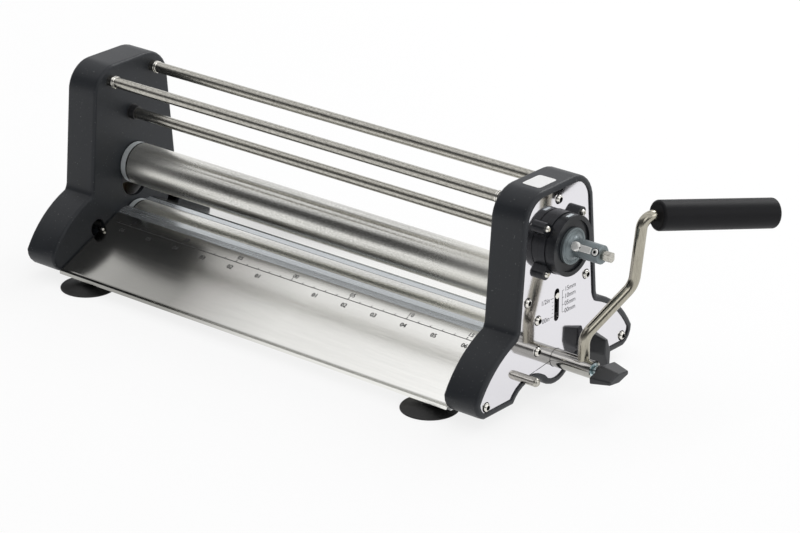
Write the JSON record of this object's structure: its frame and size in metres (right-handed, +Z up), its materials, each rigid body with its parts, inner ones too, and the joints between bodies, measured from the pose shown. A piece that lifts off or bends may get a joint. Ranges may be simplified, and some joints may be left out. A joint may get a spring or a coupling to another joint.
{
  "type": "hand cranked pasta machine",
  "caption": "Hand cranked roller machine for rolling dough: two rollers with a screw-set gap between dark casings, sloping trays, guard rods, side counter, swivelling crank and suction feet.",
  "frame": {"origin": "on the table, under the middle of the whole object's box with the crank in its stored position", "axes": "+X along the rollers towards the crank, +Y to the back, away from the tray at the front, +Z up"},
  "size_m": [0.4998, 0.2214, 0.1437],
  "materials": {
    "casing": "satin",
    "mirror_plate": "mirror polished",
    "brushed_rod": "fine brushed",
    "brushed_roller": "fine brushed along the length",
    "brushed_tray": "brushed sheet",
    "scraper_strip": "blued satin",
    "bright_screw": "polished",
    "zinc_bolt": "zinc plated",
    "black_knob": "satin",
    "grip_plastic": "satin",
    "counter_plastic": "glossy",
    "window_plastic": "clear window over pale drum",
    "hub_metal": "fine cast",
    "cup_rubber": "matt",
    "label_paper": "printed foil",
    "bearing_brass": "machined",
    "bush_plastic": "moulded",
    "block_plastic": "moulded",
    "rail_metal": "milled",
    "bracket_steel": "zinc plated",
    "gear_steel": "machined"
  },
  "bodies": {
    "frame": {"right_casing": "casing", "left_casing": "casing", "right_side_plate": "mirror_plate", "left_side_plate": "mirror_plate", "right_plate_screws": "bright_screw", "left_plate_screws": "bright_screw", "rail_screws": "bright_screw", "guide_rails": "rail_metal", "front_guard_rod": "brushed_rod", "rear_guard_rod": "brushed_rod", "guard_rod_screws": "bracket_steel", "shaft_bushes": "bush_plastic", "lower_bearings": "bearing_brass", "front_tray": "brushed_tray", "rear_tray": "brushed_tray", "front_scraper": "scraper_strip", "rear_scraper": "scraper_strip", "front_tray_rod": "brushed_rod", "rear_tray_rod": "brushed_rod", "screw_brackets": "bracket_steel", "counter_housing": "counter_plastic", "counter_window": "window_plastic", "counter_screws": "bright_screw", "right_foot_bracket": "bracket_steel", "left_foot_bracket": "bracket_steel", "front_right_cup": "cup_rubber", "rear_right_cup": "cup_rubber", "front_left_cup": "cup_rubber", "rear_left_cup": "cup_rubber", "cup_studs": "bracket_steel", "rating_label": "label_paper"},
    "drive": {"lower_roller": "brushed_roller", "lower_plugs": "gear_steel", "drive_shaft": "brushed_rod", "crank_plug": "zinc_bolt"},
    "crank_clamp": {"crank_bolt": "zinc_bolt", "crank_knob": "black_knob"},
    "crank": {"crank_arm": "brushed_rod", "grip_screw": "bright_screw"},
    "grip": {"crank_grip": "grip_plastic"},
    "front_clamp": {"front_tray_knob": "black_knob"},
    "rear_clamp": {"rear_tray_knob": "black_knob"},
    "lift": {"right_bearing_block": "block_plastic", "left_bearing_block": "block_plastic", "upper_bushes": "bearing_brass", "gap_pointer": "bright_screw"},
    "pressing_roller": {"upper_roller": "brushed_roller", "upper_plugs": "gear_steel", "upper_axle": "gear_steel"},
    "adjuster": {"adjusting_shaft": "brushed_rod", "shaft_bevels": "gear_steel", "adjuster_hub": "hub_metal", "hub_key": "bright_screw", "hub_screw": "bright_screw"},
    "right_screw": {"right_lead_screw": "gear_steel", "right_screw_bevel": "gear_steel"},
    "left_screw": {"left_lead_screw": "gear_steel", "left_screw_bevel": "gear_steel"}
  },
  "joints": [
    {"name": "drive_turn", "type": "hinge", "parent": "frame", "child": "drive", "pos_m": [-0.03393, -0.0214, 0.0243], "axis": [1, 0, 0], "range_deg": [-318, 12]},
    {"name": "crank_clamp_turn", "type": "hinge", "parent": "drive", "child": "crank_clamp", "pos_m": [0.20107, -0.0214, 0.0243], "axis": [1, 0, 0], "continuous": true},
    {"name": "crank_swivel", "type": "hinge", "parent": "drive", "child": "crank", "pos_m": [0.18677, -0.0214, 0.0243], "axis": [0, 0, 1], "range_deg": [-70, 10]},
    {"name": "grip_spin", "type": "hinge", "parent": "crank", "child": "grip", "pos_m": [0.20663, 0.02539, 0.11817], "axis": [0.3855, 0.9081, -0.1633], "continuous": true},
    {"name": "front_clamp_turn", "type": "hinge", "parent": "frame", "child": "front_clamp", "pos_m": [-0.23893, -0.054, 0.0209], "axis": [-1, 0, 0], "continuous": true},
    {"name": "rear_clamp_turn", "type": "hinge", "parent": "frame", "child": "rear_clamp", "pos_m": [0.17107, 0.0112, 0.0209], "axis": [1, 0, 0], "continuous": true},
    {"name": "roller_lift", "type": "slide", "parent": "frame", "child": "lift", "axis": [0, 0, 1], "range_m": [-0.0132, 0.0023]},
    {"name": "pressing_roller_spin", "type": "hinge", "parent": "lift", "child": "pressing_roller", "pos_m": [-0.03393, -0.0214, 0.0672], "axis": [1, 0, 0], "continuous": true},
    {"name": "adjuster_turn", "type": "hinge", "parent": "frame", "child": "adjuster", "pos_m": [-0.03393, -0.0214, 0.1043], "axis": [1, 0, 0], "range_deg": [-3200, 600]},
    {"name": "right_screw_turn", "type": "hinge", "parent": "frame", "child": "right_screw", "pos_m": [0.15407, -0.0214, 0.08], "axis": [0, 0, 1], "range_deg": [-600, 3200]},
    {"name": "left_screw_turn", "type": "hinge", "parent": "frame", "child": "left_screw", "pos_m": [-0.22193, -0.0214, 0.08], "axis": [0, 0, 1], "range_deg": [-3200, 600]}
  ],
  "couplings": [
    {"joint": "adjuster_turn", "follows": "roller_lift", "rad_per_m": 4188.8},
    {"joint": "right_screw_turn", "follows": "roller_lift", "rad_per_m": -4188.8},
    {"joint": "left_screw_turn", "follows": "roller_lift", "rad_per_m": 4188.8}
  ]
}
